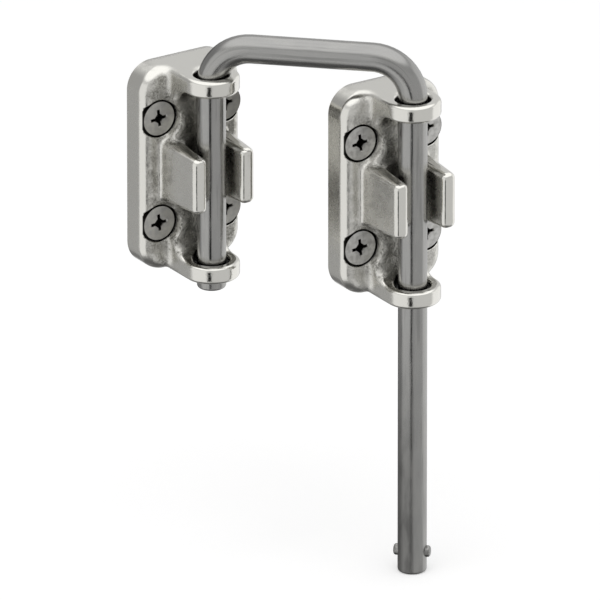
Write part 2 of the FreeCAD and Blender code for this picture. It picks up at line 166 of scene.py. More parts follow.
class Graph:
    """Adds nodes to the node tree of a material or of the world, and joins them up."""

    def __init__(self, holder: bpy.types.Material | bpy.types.World) -> None:
        """Empties the tree.

        Args:
            holder: the material or the world that gets the nodes.
        """
        holder.use_nodes = True
        self.tree = holder.node_tree
        self.tree.nodes.clear()

    def node(self, kind: str, *values: object, **settings: object) -> bpy.types.Node:
        """One new node.

        Args:
            kind: the node's type name.
            values: what its first inputs get, in their order.
            settings: properties to set on it.

        Returns:
            The node.
        """
        made = self.tree.nodes.new(kind)
        for name, value in settings.items():
            setattr(made, name, value)
        for socket, value in zip(made.inputs, values):
            self.feed(socket, value)
        return made

    def feed(self, socket: Socket, value: object) -> None:
        """Gives a socket its value, or joins it to another node's socket.

        Args:
            socket: the input to feed.
            value: a number, a vector, a colour or an output socket.
        """
        if isinstance(value, Socket):
            self.tree.links.new(value, socket)
        else:
            socket.default_value = value

    def end(self, ending: Ending, shader: bpy.types.Node) -> None:
        """Hands a shader to the graph's last node."""
        self.node(ending.value, shader.outputs[0])

    def read(self, reading: Reading) -> Socket:
        """Reads the place, the normal or the way."""
        return self.node("ShaderNodeTexCoord").outputs[reading.value]

    def is_ray(self, ray: Ray) -> Socket:
        """Gives 1 for the rays of one kind, and 0 for all others."""
        return self.node("ShaderNodeLightPath").outputs[ray.value]

    def sum(self, kind: Sum, *values: Number) -> Socket:
        """A sum of one to three numbers."""
        return self.node("ShaderNodeMath", *values, operation=kind.value).outputs[0]

    def times(self, first: Number, *others: Number) -> Socket:
        """The product of some numbers.

        Args:
            first: the first number, or a socket that carries it.
            others: the other numbers.

        Returns:
            The socket with the product.
        """
        for other in others:
            first = self.sum(Sum.TIMES, first, other)
        return first

    def distance(self, one: Socket, other: Socket) -> Socket:
        """How far two offsets at right angles reach together."""
        squares = self.sum(Sum.ADD, self.times(one, one), self.times(other, other))
        return self.sum(Sum.ROOT, squares)

    def dot(self, vector: Socket, direction: Vector) -> Socket:
        """How far a vector reaches along a fixed direction."""
        made = self.node("ShaderNodeVectorMath", vector, tuple(direction), operation="DOT_PRODUCT")
        return made.outputs["Value"]

    def length(self, vector: Socket) -> Socket:
        """How long a vector is."""
        return self.node("ShaderNodeVectorMath", vector, operation="LENGTH").outputs["Value"]

    def from_point(self, vector: Socket, point: Vector) -> Socket:
        """A place, measured from a fixed point."""
        made = self.node("ShaderNodeVectorMath", vector, tuple(point), operation="SUBTRACT")
        return made.outputs[0]

    def parts(self, vector: Socket) -> list[Socket]:
        """The x, y and z of a vector."""
        return list(self.node("ShaderNodeSeparateXYZ", vector).outputs)

    def vector(self, *values: Number) -> Socket:
        """A vector from its x, y and z."""
        return self.node("ShaderNodeCombineXYZ", *values).outputs[0]

    def step(self, value: Number, ramp: Ramp) -> Socket:
        """A smooth step.

        Args:
            value: what is read.
            ramp: where the step lies, and what it leads from and to.

        Returns:
            The socket with the result.
        """
        ends = (ramp.start, ramp.end, ramp.low, ramp.high)
        if ramp.start > ramp.end:
            ends = (ramp.end, ramp.start, ramp.high, ramp.low)
        made = self.node("ShaderNodeMapRange", value, *ends, interpolation_type="SMOOTHSTEP")
        return made.outputs[0]

    def noise(self, vector: Socket, cloud: Cloud) -> Socket:
        """Cloudy noise.

        Args:
            vector: the place to read.
            cloud: which noise.

        Returns:
            The socket with the noise, from 0 to 1.
        """
        made = self.node("ShaderNodeTexNoise", vector)
        self.feed(made.inputs["Scale"], 1.0 / cloud.size)
        self.feed(made.inputs["Detail"], cloud.detail)
        self.feed(made.inputs["Roughness"], cloud.rough)
        return made.outputs["Fac"]

    def mix(self, mixture: Mixture, share: Number, one: object, other: object) -> Socket:
        """Something between two others.

        Args:
            mixture: what is mixed.
            share: how much of the second there is, from 0 to 1.
            one: the first number, vector or colour.
            other: the second one.

        Returns:
            The socket with the result.
        """
        kind, first, second, result = mixture.value
        made = self.node("ShaderNodeMix", share, data_type=kind)
        self.feed(made.inputs[first], one)
        self.feed(made.inputs[second], other)
        return made.outputs[result]

    def blend(self, share: Number, one: Number, other: Number) -> Socket:
        """A number between two others, by the share of the second."""
        return self.mix(Mixture.NUMBER, share, one, other)

    def tint(self, share: Number, one: Paint, other: Paint) -> Socket:
        """A colour between two others, by the share of the second."""
        return self.mix(Mixture.COLOUR, share, one, other)

    def bump(self, height: Socket, depth: float, over: Socket | None = None) -> Socket:
        """A surface normal tilted by small heights.

        Args:
            height: the heights, from 0 to 1.
            depth: what a height of 1 measures, in metres.
            over: a normal that is tilted already.

        Returns:
            The socket with the normal.
        """
        made = self.node("ShaderNodeBump")
        self.feed(made.inputs["Strength"], 1.0)
        self.feed(made.inputs["Distance"], depth)
        self.feed(made.inputs["Height"], height)
        if over is not None:
            self.feed(made.inputs["Normal"], over)
        return made.outputs[0]


def grey(level: float, warmth: float = 0.0) -> Colour:
    """A grey colour.

    Args:
        level: how light it is, from 0 to 1.
        warmth: the share of blue that it lacks. It lacks BLUE_TO_GREEN times less green.

    Returns:
        Red, green, blue and 1.
    """
    return level, level * (1 - warmth / BLUE_TO_GREEN), level * (1 - warmth), 1.0


@dataclass(frozen=True)
class Surface:
    """What a finish says of a surface, as sockets."""

    colour: Socket
    rough: Socket
    normal: Socket


@dataclass(frozen=True)
class Finish:
    """A metal finish, which its subclasses describe."""

    name: str

    def make(self) -> bpy.types.Material:
        """Builds the material.

        Returns:
            The material, with one metal shader that the finish drives.
        """
        material = bpy.data.materials.new(self.name)
        graph = Graph(material)
        surface = self.surface(graph)
        shader = graph.node("ShaderNodeBsdfPrincipled")
        graph.feed(shader.inputs["Metallic"], 1.0)
        graph.feed(shader.inputs["Base Color"], surface.colour)
        graph.feed(shader.inputs["Roughness"], surface.rough)
        graph.feed(shader.inputs["Normal"], surface.normal)
        graph.end(Ending.MATERIAL, shader)
        return material

    def surface(self, graph: Graph) -> Surface:
        """Describes the surface, in each subclass."""
        raise NotImplementedError(self.name)


@dataclass(frozen=True)
class CastSpot:
    """A spot of a casting, as sockets, measured from the middle of the bracket's back face.

    `beside` and `above` count alike to both sides, and `depth` is negative forwards. `leaning` is
    how far the normal lies sideways, and `facing` is its y.
    """

    place: Socket
    beside: Socket
    depth: Socket
    above: Socket
    leaning: Socket
    facing: Socket

    @classmethod
    def read(cls, graph: Graph, origin: Vector) -> "CastSpot":
        """Reads the spot that is shaded.

        Args:
            graph: the casting's graph.
            origin: the middle of the bracket's back face.

        Returns:
            The spot.
        """
        place = graph.from_point(graph.read(Reading.PLACE), origin)
        x, depth, z = graph.parts(place)
        normal_x, facing, _ = graph.parts(graph.read(Reading.NORMAL))
        beside, above, leaning = (graph.sum(Sum.SIZE, value) for value in (x, z, normal_x))
        return cls(place, beside, depth, above, leaning, facing)


@dataclass(frozen=True)
class CastNickel(Finish):
    """Nickel-plated die casting: tumbled smooth outside, grainy where the tumbling didn't reach, with
    painted shade on its front faces, in its pocket, in its screw gaps and in its bores.

    The ramps in millimetres are measured from the size that the methods move them to.
    """

    origin: Vector
    # dull: mottled grey of the front faces, partly the casting's tone and partly painted shade.
    dull: Colour
    # deep: painted shade in the pocket behind the bar, between the arms.
    deep: Colour
    light: Colour = grey(0.76, 0.07)
    raw: Colour = grey(0.30, 0.06)
    # Near-black: painted shadow in the gaps round the screw heads and inside the rings.
    grime_and_shade: Colour = grey(0.02, 0.1)
    spine_front: float = 11.2 * MM
    hollow_deep: float = 5.0 * MM
    face: float = 8.4 * MM
    half_arm: float = 7.7 * MM
    arm_inner: float = 24.0 * MM
    screw_x: float = 10.55 * MM
    screw_z: float = 15.2 * MM
    recess_radius: float = 5.35 * MM
    recess_floor: float = 7.2 * MM
    wall_x: float = 15.4 * MM
    bar_axis: float = 17.8 * MM
    bore_radius: float = 4.75 * MM
    tumbled_rough: float = 0.10
    wall_rough: float = 0.24
    cast_rough: float = 0.24
    raw_rough: float = 0.55
    wall_lean: Ramp = Ramp(0.94, 0.99)
    blotch: Cloud = Cloud(2.6 * MM, 3.0)
    blotch_rough: Ramp = Ramp(0.3, 0.7, 0.0, 0.06)
    wave: Cloud = Cloud(5.0 * MM, 1.0)
    wave_depth: float = 0.10 * MM
    grain: Cloud = Cloud(0.55 * MM, 3.0, 0.7)
    grain_depth: float = 0.17 * MM
    grain_where_tumbled: float = 0.14
    fine: Cloud = Cloud(0.13 * MM, 1.0)
    fine_depth: float = 0.012 * MM
    fine_where_tumbled: float = 0.30
    cast_patches: Ramp = Ramp(0.28, 0.62, 0.35, 1.0)
    cast_speckles: Ramp = Ramp(0.35, 0.7, 0.35, 1.0)
    cast_ahead: Ramp = Ramp(-5.5 * MM, -1.0 * MM)
    cast_facing: Ramp = Ramp(-0.66, -0.985)
    pocket_patches: Ramp = Ramp(0.36, 0.60, 1.0, 0.15)
    pocket_speckles: Ramp = Ramp(0.38, 0.60, 1.0, 0.35)
    pocket_beside: Ramp = Ramp(4.2 * MM, 0.4 * MM)
    pocket_above: Ramp = Ramp(0.6 * MM, -1.5 * MM)
    pocket_ahead: Ramp = Ramp(-5.0 * MM, -1.5 * MM)
    hollow_ahead: Ramp = Ramp(-0.4 * MM, 0.2 * MM)
    hollow_facing: Ramp = Ramp(0.2, 0.8)
    bore_edge: Ramp = Ramp(0.3 * MM, 0.05 * MM, 0.0, 0.9)
    gap_edge: Ramp = Ramp(0.06 * MM, 0.02 * MM)
    gap_to_wall: Ramp = Ramp(0.0, -0.2 * MM)
    gap_to_floor: Ramp = Ramp(0.3 * MM, 0.1 * MM)
    gap_to_face: Ramp = Ramp(0.05 * MM, 0.3 * MM)
    soft_radius: float = 2.8 * MM
    soft_samples: int = 6
    soft_beside: Ramp = Ramp(3.5 * MM, 1.5 * MM)
    soft_ahead: Ramp = Ramp(-3.5 * MM, -1.0 * MM)

    def surface(self, graph: Graph) -> Surface:
        """Describes the casting.

        Args:
            graph: the casting's graph.

        Returns:
            Its surface.
        """
        spot = CastSpot.read(graph, self.origin)
        clouds = (self.blotch, self.grain, self.fine, self.wave)
        blotch, grain, fine, wave = (graph.noise(spot.place, cloud) for cloud in clouds)
        cast = graph.times(self.sheltered(graph, spot), graph.step(blotch, self.cast_patches))
        pocket = graph.times(self.pocket(graph, spot), graph.step(blotch, self.pocket_patches))
        untumbled = graph.sum(Sum.HIGHEST, cast, pocket)
        hollow = self.hollow(graph, spot)
        # Painted shadow: near-black in the gaps round the screw heads and inside the rings round the bar.
        painted_shadow = graph.sum(Sum.HIGHEST, self.screw_gap_shadow(graph, spot), self.bore_shadow(graph, spot))

        # The front faces' dull grey is partly mottled cast tone and partly painted shade.
        dull_and_shade = graph.times(cast, graph.step(grain, self.cast_speckles))
        # The pocket's deep grey is painted shade.
        pocket_shade = graph.times(pocket, graph.step(grain, self.pocket_speckles))
        colour = graph.tint(dull_and_shade, self.light, self.dull)
        colour = graph.tint(pocket_shade, colour, self.deep)
        colour = graph.tint(hollow, colour, self.raw)
        colour = graph.tint(painted_shadow, colour, self.grime_and_shade)

        wall = graph.step(spot.leaning, self.wall_lean)
        rough = graph.blend(wall, self.tumbled_rough, self.wall_rough)
        rough = graph.sum(Sum.ADD, rough, graph.step(blotch, self.blotch_rough))
        rough = graph.blend(untumbled, rough, self.cast_rough)
        rough = graph.blend(hollow, rough, self.raw_rough)

        grains = graph.times(grain, graph.blend(untumbled, self.grain_where_tumbled, 1.0))
        fine_grains = graph.times(fine, graph.blend(cast, self.fine_where_tumbled, 1.0))
        normal = graph.bump(wave, self.wave_depth, self.soft_normal(graph, spot))
        normal = graph.bump(grains, self.grain_depth, normal)
        normal = graph.bump(fine_grains, self.fine_depth, normal)
        return Surface(colour, rough, normal)

    def sheltered(self, graph: Graph, spot: CastSpot) -> Socket:
        """How well the base's face, the spine and the saddles are sheltered from tumbling, which also
        sets where their colour is darkened, partly as painted shade.

        Args:
            graph: the graph to add to.
            spot: the spot that is shaded.

        Returns:
            The socket with the share, from 0 to 1.
        """
        behind_bar = graph.step(spot.depth, self.cast_ahead.moved(-self.spine_front))
        return graph.times(behind_bar, graph.step(spot.facing, self.cast_facing))

    def pocket(self, graph: Graph, spot: CastSpot) -> Socket:
        """The pocket behind the bar, between the two arms, which is rougher and grainier and gets painted
        shade.

        Args:
            graph: the graph to add to.
            spot: the spot that is shaded.

        Returns:
            The socket with the share, from 0 to 1.
        """
        beside = graph.step(spot.beside, self.pocket_beside.moved(self.half_arm))
        between = graph.step(spot.above, self.pocket_above.moved(self.arm_inner))
        behind_bar = graph.step(spot.depth, self.pocket_ahead.moved(-self.spine_front))
        return graph.times(beside, between, behind_bar)

    def hollow(self, graph: Graph, spot: CastSpot) -> Socket:
        """The hollow back, which is left as it was cast.

        Args:
            graph: the graph to add to.
            spot: the spot that is shaded.

        Returns:
            The socket with the share, from 0 to 1.
        """
        inside = graph.step(spot.depth, self.hollow_ahead.moved(-self.hollow_deep))
        return graph.times(inside, graph.step(spot.facing, self.hollow_facing))

    def bore_shadow(self, graph: Graph, spot: CastSpot) -> Socket:
        """The painted shadow inside the two rings, round the bar.

        Args:
            graph: the graph to add to.
            spot: the spot that is shaded.

        Returns:
            The socket with the share of painted shadow.
        """
        away = graph.distance(spot.beside, graph.sum(Sum.ADD, spot.depth, self.bar_axis))
        return graph.step(away, self.bore_edge.moved(self.bore_radius))

    def screw_gap_shadow(self, graph: Graph, spot: CastSpot) -> Socket:
        """The painted shadow in the gaps round the four screw heads.

        Args:
            graph: the graph to add to.
            spot: the spot that is shaded.

        Returns:
            The socket with the share of painted shadow.
        """
        aside = graph.sum(Sum.LESS, spot.beside, self.screw_x)
        upward = graph.sum(Sum.LESS, spot.above, self.screw_z)
        near = graph.step(graph.distance(aside, upward), self.gap_edge.moved(self.recess_radius))
        off_wall = graph.step(spot.beside, self.gap_to_wall.moved(self.wall_x))
        off_floor = graph.step(spot.depth, self.gap_to_floor.moved(-self.recess_floor))
        off_face = graph.step(spot.depth, self.gap_to_face.moved(-self.face))
        return graph.times(near, off_wall, off_floor, off_face)

    def soft_normal(self, graph: Graph, spot: CastSpot) -> Socket:
        """The normal, softened round the spine, where the casting flows over its edges.

        Args:
            graph: the graph to add to.
            spot: the spot that is shaded.

        Returns:
            The socket with the normal.
        """
        beside = graph.step(spot.beside, self.soft_beside.moved(self.half_arm))
        behind_bar = graph.step(spot.depth, self.soft_ahead.moved(-self.spine_front))
        true = graph.node("ShaderNodeNewGeometry").outputs["Normal"]
        soft = graph.node("ShaderNodeBevel", self.soft_radius, samples=self.soft_samples).outputs[0]
        return graph.mix(Mixture.VECTOR, graph.times(beside, behind_bar), true, soft)


@dataclass(frozen=True)
class BarSpot:
    """A spot of the bar, as sockets that follow its bends.

    They are the offset from the bar's axis in the loop's plane, the offset across that plane, and
    the length along the bar, which is 0 where each leg's bend begins.
    """

    offset: Socket
    across: Socket
    length: Socket

    def noise(self, graph: Graph, streak: Streak) -> Socket:
        """Noise drawn out along the bar."""
        place = graph.vector(self.offset, self.across, graph.times(self.length, streak.along))
        return graph.noise(place, streak)


@dataclass(frozen=True)
class LoopPlane:
    """The plane in which the loop is bent, and the curve of its bar there."""

    bar_radius: float = 3.97 * MM
    bend: float = 11.0 * MM

    def jamb_leg(self) -> Vector:
        """The long leg's axis, level with the run."""
        low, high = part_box("loop_bar")
        return Vector((high.x - self.bar_radius, low.y + self.bar_radius, high.z - self.bar_radius))

    def door_leg(self) -> Vector:
        """The short leg's axis, level with the run."""
        low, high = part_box("loop_bar")
        return Vector((low.x + self.bar_radius, high.y - self.bar_radius, high.z - self.bar_radius))

    def run(self) -> Vector:
        """The way from the long leg to the short one."""
        return self.door_leg() - self.jamb_leg()

    def follow(self, graph: Graph, place: Socket) -> BarSpot:
        """Follows the bent bar.

        Args:
            graph: the graph to add to.
            place: the place on the bar, in the row frame.

        Returns:
            The spot of the bar.
        """
        ahead = self.run().normalized()
        half = self.run().length / 2
        straight = half - self.bend
        local = graph.from_point(place, self.jamb_leg())
        across = graph.dot(local, Vector((-ahead.y, ahead.x, 0)))
        outward = graph.sum(Sum.SIZE, graph.sum(Sum.LESS, graph.dot(local, ahead), half))
        _, _, level = graph.parts(local)
        level = graph.sum(Sum.ADD, level, self.bend)
        past = graph.sum(Sum.HIGHEST, graph.sum(Sum.LESS, outward, straight), 0.0)
        up = graph.sum(Sum.HIGHEST, level, 0.0)
        offset = graph.sum(Sum.LESS, graph.distance(past, up), self.bend)
        on_leg = graph.sum(Sum.LOWEST, level, 0.0)
        on_bend = graph.times(graph.sum(Sum.TURN, up, past), self.bend)
        on_run = graph.sum(Sum.LESS, straight, graph.sum(Sum.LOWEST, outward, straight))
        length = graph.sum(Sum.ADD, graph.sum(Sum.ADD, on_leg, on_bend), on_run)
        return BarSpot(offset, across, length)


@dataclass(frozen=True)
class DrawnSteel(Finish):
    """Drawn and plated bar: grain along its length, light scratches, painted shade low on the long leg
    and a grimy end.

    `drawn` is the fine grain, `broad` the wide streaks and `patch` the cloudy wear.
    """

    plane: LoopPlane
    light: Colour = grey(0.36, 0.03)
    worn: Colour = grey(0.42, 0.05)
    # On the bar this grey is grime: the dark streaks and the grimy end.
    grime_and_shade: Colour = grey(0.17, 0.03)
    # Painted shade: darker low on the long leg and on its left-facing side.
    shade_grey: Colour = grey(0.10, 0.05)
    drawn: Streak = Streak(0.22 * MM, 3.0, 0.65, along=0.02)
    drawn_depth: float = 0.011 * MM
    drawn_rough: Ramp = Ramp(0.25, 0.8, 0.14, 0.27)
    broad: Streak = Streak(1.3 * MM, along=0.06)
    broad_depth: float = 0.030 * MM
    broad_grime: Ramp = Ramp(0.52, 0.72, 0.0, 0.35)
    patch: Streak = Streak(3.0 * MM, 3.0, along=0.35)
    patch_worn: Ramp = Ramp(0.35, 0.75, 0.0, 0.55)
    patch_rough: Ramp = Ramp(0.4, 0.7, 0.0, 0.05)
    scratch: Cloud = Cloud(0.35 * MM)
    scratch_slant: float = 0.55
    scratch_across: float = 0.10
    scratch_lines: Ramp = Ramp(0.66, 0.74)
    zone: Streak = Streak(4.5 * MM, 1.0, along=0.5)
    zone_scratched: Ramp = Ramp(0.55, 0.68)
    scratch_depth: float = -0.012 * MM
    scratch_worn: float = 0.55
    shade_drop: Ramp = Ramp(-25.0 * MM, -95.0 * MM)
    shade_turn: float = 75.0
    shade_side: Ramp = Ramp(0.62, 0.93, 0.12, 0.85)
    shade_patches: Ramp = Ramp(0.3, 0.6, 1.0, 0.7)
    lower_rough: float = 0.14
    end_grime: Ramp = Ramp(1.6 * MM, 1.6 * MM / 3, 0.0, 0.75)
    end_ragged: float = 0.8 * MM

    def surface(self, graph: Graph) -> Surface:
        """Describes the bar.

        Args:
            graph: the bar's graph.

        Returns:
            Its surface.
        """
        place = graph.read(Reading.PLACE)
        _, _, level = graph.parts(place)
        spot = self.plane.follow(graph, place)
        streaks = (self.drawn, self.broad, self.patch)
        drawn, broad, patch = (spot.noise(graph, streak) for streak in streaks)
        scratch = self.scratches(graph, spot)
        lower = graph.step(level, self.shade_drop)

        colour = graph.tint(graph.step(patch, self.patch_worn), self.light, self.worn)
        colour = graph.tint(graph.times(scratch, self.scratch_worn), colour, self.worn)
        colour = graph.tint(graph.step(broad, self.broad_grime), colour, self.grime_and_shade)
        # Painted shade, darker towards the bottom of the long leg and on its left-facing side.
        colour = graph.tint(graph.times(lower, self.painted_shade(graph, patch)), colour, self.shade_grey)
        colour = graph.tint(self.grimy_end(graph, level, patch), colour, self.grime_and_shade)

        rough = graph.step(drawn, self.drawn_rough)
        rough = graph.sum(Sum.ADD, rough, graph.step(patch, self.patch_rough))
        rough = graph.sum(Sum.ADD, rough, graph.times(lower, self.lower_rough))

        normal = graph.bump(broad, self.broad_depth)
        normal = graph.bump(drawn, self.drawn_depth, normal)
        normal = graph.bump(scratch, self.scratch_depth, normal)
        return Surface(colour, rough, normal)

    def scratches(self, graph: Graph, spot: BarSpot) -> Socket:
        """Thin slanting scratches, in some zones only.

        Args:
            graph: the graph to add to.
            spot: the spot that is shaded.

        Returns:
            The socket with the scratches, 1 in their middle.
        """
        slant = graph.sum(Sum.ADD, spot.length, graph.times(spot.across, self.scratch_slant))
        offset, across = (graph.times(way, self.scratch_across) for way in (spot.offset, spot.across))
        lines = graph.noise(graph.vector(offset, across, slant), self.scratch)
        zone = spot.noise(graph, self.zone)
        return graph.times(graph.step(lines, self.scratch_lines), graph.step(zone, self.zone_scratched))

    def painted_shade(self, graph: Graph, patch: Socket) -> Socket:
        """Painted shade, thickest on the side that faces left.

        Args:
            graph: the graph to add to.
            patch: the noise that breaks the tarnish up.

        Returns:
            The socket with the share of painted shade, as it is low on the long leg.
        """
        turn = math.radians(self.shade_turn)
        left = graph.dot(graph.read(Reading.NORMAL), Vector((-math.sin(turn), -math.cos(turn), 0)))
        return graph.times(graph.step(left, self.shade_side), graph.step(patch, self.shade_patches))

    def grimy_end(self, graph: Graph, level: Socket, patch: Socket) -> Socket:
        """The dark sawn end of the long leg, with a ragged edge.

        Args:
            graph: the graph to add to.
            level: the height in the row frame.
            patch: the noise that breaks the edge up.

        Returns:
            The socket with the share of grime.
        """
        low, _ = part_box("loop_bar")
        ragged = graph.sum(Sum.ADD, level, graph.times(patch, self.end_ragged))
        return graph.step(ragged, self.end_grime.moved(low.z))


@dataclass(frozen=True)
class TurnedSteel(Finish):
    """Plated steel turned on a lathe, with faint rings round its axis."""

    axis_point: Vector
    axis: Vector
    light: Colour
    dull: Colour
    rough: Ramp = Ramp(0.3, 0.75, 0.28, 0.45)
    blotch: Cloud = Cloud(1.5 * MM, 3.0)
    blotch_dull: Ramp = Ramp(0.35, 0.7)
    ring: Cloud = Cloud(0.16 * MM, 1.0)
    ring_depth: float = 0.010 * MM
    speck: Cloud = Cloud(0.3 * MM, 3.0, 0.6)
    speck_depth: float = 0.016 * MM

    def surface(self, graph: Graph) -> Surface:
        """Describes the turned piece.

        Args:
            graph: the piece's graph.

        Returns:
            Its surface.
        """
        local = graph.from_point(graph.read(Reading.PLACE), self.axis_point)
        deep = graph.dot(local, self.axis)
        whole = graph.length(local)
        squares = graph.sum(Sum.LESS, graph.times(whole, whole), graph.times(deep, deep))
        radius = graph.sum(Sum.ROOT, graph.sum(Sum.HIGHEST, squares, 0.0))
        blotch, speck = (graph.noise(local, cloud) for cloud in (self.blotch, self.speck))
        rings = graph.noise(graph.vector(radius, deep, 0.0), self.ring)

        colour = graph.tint(graph.step(blotch, self.blotch_dull), self.light, self.dull)
        colour = self.with_painted_shade(graph, colour, deep, radius)
        normal = graph.bump(rings, self.ring_depth)
        normal = graph.bump(speck, self.speck_depth, normal)
        return Surface(colour, graph.step(speck, self.rough), normal)

    def with_painted_shade(self, graph: Graph, colour: Socket, deep: Socket, radius: Socket) -> Socket:
        """The colour with its painted shade, of which a plain turned piece has none."""
        return colour


@dataclass(frozen=True)
class ScrewSteel(TurnedSteel):
    """The turned steel of a screw, with painted shade deep in its cross recess and round its head."""

    # Near-black painted shade for the cross recess and the head's rim.
    grime_and_shade: Colour = grey(0.035, 0.1)
    recess_top: Ramp = Ramp(0.12 * MM, 0.47 * MM)
    recess_floor: Ramp = Ramp(2.4 * MM, 2.2 * MM)
    recess_reach: Ramp = Ramp(2.7 * MM, 2.5 * MM)
    rim: Ramp = Ramp(4.76 * MM, 4.82 * MM)

    def with_painted_shade(self, graph: Graph, colour: Socket, deep: Socket, radius: Socket) -> Socket:
        """The colour with its painted shade.

        Args:
            graph: the graph to add to.
            colour: the clean steel.
            deep: the depth behind the head's top.
            radius: the distance from the screw's axis.

        Returns:
            The socket with the colour.
        """
        below_top = graph.step(deep, self.recess_top)
        above_floor = graph.step(deep, self.recess_floor)
        in_recess = graph.times(below_top, above_floor, graph.step(radius, self.recess_reach))
        # Painted shade: near-black deep in the cross recess and round the head's rim, beside the gap.
        colour = graph.tint(in_recess, colour, self.grime_and_shade)
        return graph.tint(graph.step(radius, self.rim), colour, self.grime_and_shade)


def dress(node: bpy.types.Object, material: bpy.types.Material) -> None:
    """Gives a piece one finish all over.

    Args:
        node: the piece.
        material: its finish.
    """
    if not node.material_slots:
        node.data.materials.append(material)
    for slot in node.material_slots:
        slot.material = material


@dataclass
class WoodScrew:
    """A flat-head screw: the frame's node, and the thread on its shank."""

    name: str
    light: Colour
    dull: Colour = grey(0.50, 0.05)
    head_to_thread: float = 8.1 * MM
    root: float = 1.8 * MM
    crest: float = 2.4 * MM
    sunk: float = 0.08 * MM
    pitch: float = 1.95 * MM
    ridge: float = 0.95 * MM
    flat: float = 0.14 * MM
    point: float = 3.5 * MM
    run_out: float = 1.3 * MM
    lowest_ridge: float = 0.02
    steps_a_turn: int = 40
    corners: int = 4

    def top(self) -> Vector:
        """The middle of the head's top."""
        low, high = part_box(self.name)
        return Vector(((low.x + high.x) / 2, low.y, (low.z + high.z) / 2))

    def tip(self) -> float:
        """How far the tip lies behind the head's top."""
        low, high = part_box(self.name)
        return high.y - low.y

    def build(self) -> None:
        """Dresses the screw and adds its thread."""
        material = ScrewSteel(f"{self.name}_steel", self.top(), INWARD, self.light, self.dull).make()
        dress(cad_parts[self.name], material)
        thread = self.build_thread()
        dress(thread, material)
        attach(thread, FIXED_BODY)
        log.info("%s dressed, with its thread", self.name)

    def root_at(self, deep: float) -> float:
        """The shank's radius at a depth behind the head's top, which shrinks along the point."""
        return self.root * min(1.0, max(0.0, (self.tip() - deep) / self.point))

    def build_thread(self) -> bpy.types.Object:
        """Winds the thread's ridge round the shank.

        Returns:
            The thread as an object of its own.
        """
        start = self.head_to_thread + self.ridge / 2
        end = self.tip() - self.ridge / 2
        count = int((end - start) / self.pitch * self.steps_a_turn)
        top = self.top()
        points, faces = [], []
        for index in range(count + 1):
            deep = start + (end - start) * index / count
            turn = 2 * math.pi * index / self.steps_a_turn
            for radius, shift in self.outline(deep, min(deep - start, end - deep)):
                x, z = radius * math.cos(turn), radius * math.sin(turn)
                points.append((top.x + x, top.y + deep + shift, top.z - z))
            if index:
                faces += self.band(index)
        first = range(self.corners)
        faces += [tuple(reversed(first)), tuple(self.corners * count + corner for corner in first)]
        mesh = bpy.data.meshes.new(f"{self.name}_thread")
        mesh.from_pydata(points, [], faces)
        mesh.update()
        thread = bpy.data.objects.new(f"{self.name}_thread", mesh)
        bpy.context.scene.collection.objects.link(thread)
        return thread

    def outline(self, deep: float, from_end: float) -> tuple[tuple[float, float], ...]:
        """The ridge's outline, cut along the screw's axis.

        Args:
            deep: the ridge's depth behind the head's top.
            from_end: the way to the nearer end of the thread.

        Returns:
            The four corners, each with its radius and its shift along the axis.
        """
        fade = min(1.0, from_end / self.run_out)
        base = max(self.root_at(deep) - self.sunk, self.sunk)
        peak = base + (self.crest - self.root + self.sunk) * max(fade, self.lowest_ridge)
        half_ridge, half_flat = self.ridge / 2, self.flat / 2
        return (base, -half_ridge), (peak, -half_flat), (peak, half_flat), (base, half_ridge)

    def band(self, index: int) -> list[tuple[int, ...]]:
        """The faces between two outlines of the ridge.

        Args:
            index: the number of the later outline.

        Returns:
            The faces, as numbers of points.
        """
        after = self.corners * index
        before = after - self.corners
        sides = [(corner, (corner + 1) % self.corners) for corner in range(self.corners)]
        return [(before + one, before + two, after + two, after + one) for one, two in sides]


@dataclass
class Bracket:
    """One die-cast bracket with its four screws.

    `dull` is the mottled grey of its front faces, partly cast tone and partly painted shade,
    `deep` is the painted shade in its pocket behind the bar, and `head` is the grey of its screws.
    """

    owner: Owner
    dull: Colour = grey(0.50, 0.08)
    deep: Colour = grey(0.20, 0.12)
    head: Colour = grey(0.72, 0.04)

    def node_name(self) -> str:
        """The name of the casting's node."""
        return f"{self.owner.value}_bracket"

    def origin(self) -> Vector:
        """The middle of the casting's back face."""
        low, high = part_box(self.node_name())
        return Vector(((low.x + high.x) / 2, high.y, (low.z + high.z) / 2))

    def build(self) -> None:
        """Dresses the casting and builds its screws."""
        finish = CastNickel(f"{self.owner.value}_cast_nickel", self.origin(), self.dull, self.deep)
        dress(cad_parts[self.node_name()], finish.make())
        log.info("%s dressed", self.node_name())
        for corner in Corner:
            WoodScrew(f"{self.owner.value}_screw_{corner.value}", self.head).build()


@dataclass
class Loop:
    """The bent bar, and the pin that keeps it in the lower ring."""

    plane: LoopPlane
    pin_light: Colour = grey(0.36, 0.03)
    pin_dull: Colour = grey(0.22, 0.04)
    pin_rough: Ramp = Ramp(0.3, 0.75, 0.21, 0.38)

    def build(self) -> None:
        """Dresses the bar and the pin."""
        dress(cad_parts["loop_bar"], DrawnSteel("drawn_bar_steel", self.plane).make())
        log.info("loop_bar dressed")
        low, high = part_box("retaining_pin")
        finish = TurnedSteel("pin_steel_turned", (low + high) / 2, self.plane.run().normalized(),
                             self.pin_light, self.pin_dull, self.pin_rough)
        dress(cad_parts["retaining_pin"], finish.make())
        log.info("retaining_pin dressed")


@dataclass(frozen=True)
class Panel:
    """One part of the studio round the object, and how bright it is in the metal's reflections.

    Directions are in degrees: 0 lies in front, at -Y, and 90 to the right, at +X. Heights are
    angles above the horizon, and the blur is the width of the soft edge.
    """

    name: str
    middle: float
    half_width: float
    low: float
    high: float
    level: float
    blur: float


